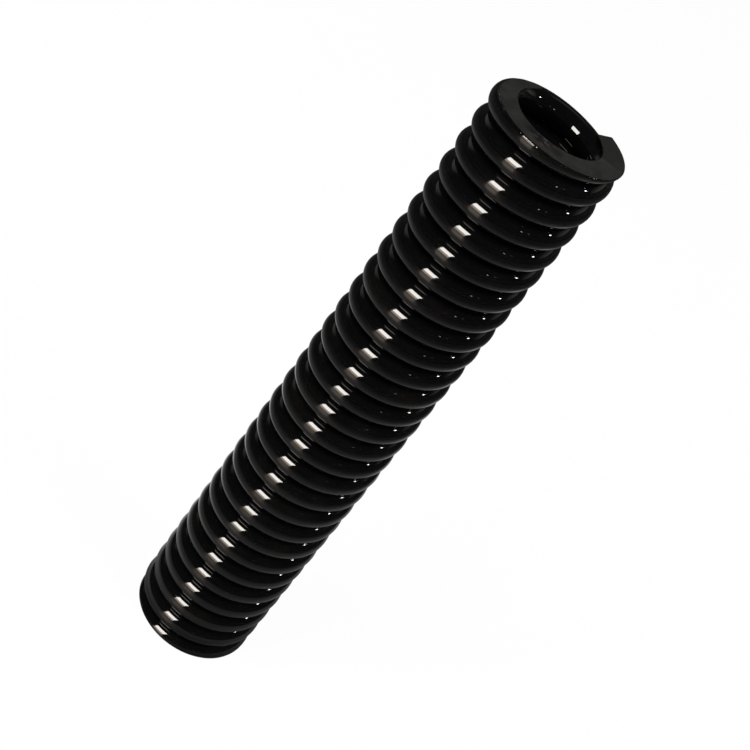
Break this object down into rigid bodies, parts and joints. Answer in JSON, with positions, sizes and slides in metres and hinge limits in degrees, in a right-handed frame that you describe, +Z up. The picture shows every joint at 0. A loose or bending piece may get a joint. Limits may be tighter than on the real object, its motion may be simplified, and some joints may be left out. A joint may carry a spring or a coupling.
{
  "type": "hose protector spring",
  "caption": "Close-wound coil of round black-coated spring wire with flat-ground ends, slid over a hose to guard it from kinks and rubbing.",
  "frame": {"origin": "centre of the coil on the bottom ground face, which the spring stands on", "axes": "+Z up along the coil's axis, +X to the right and +Y away from the viewer in the picture's view"},
  "size_m": [0.0264, 0.0264, 0.138],
  "materials": {
    "coated_wire": "gloss"
  },
  "bodies": {
    "root": {"coil_spring": "coated_wire"}
  },
  "joints": []
}
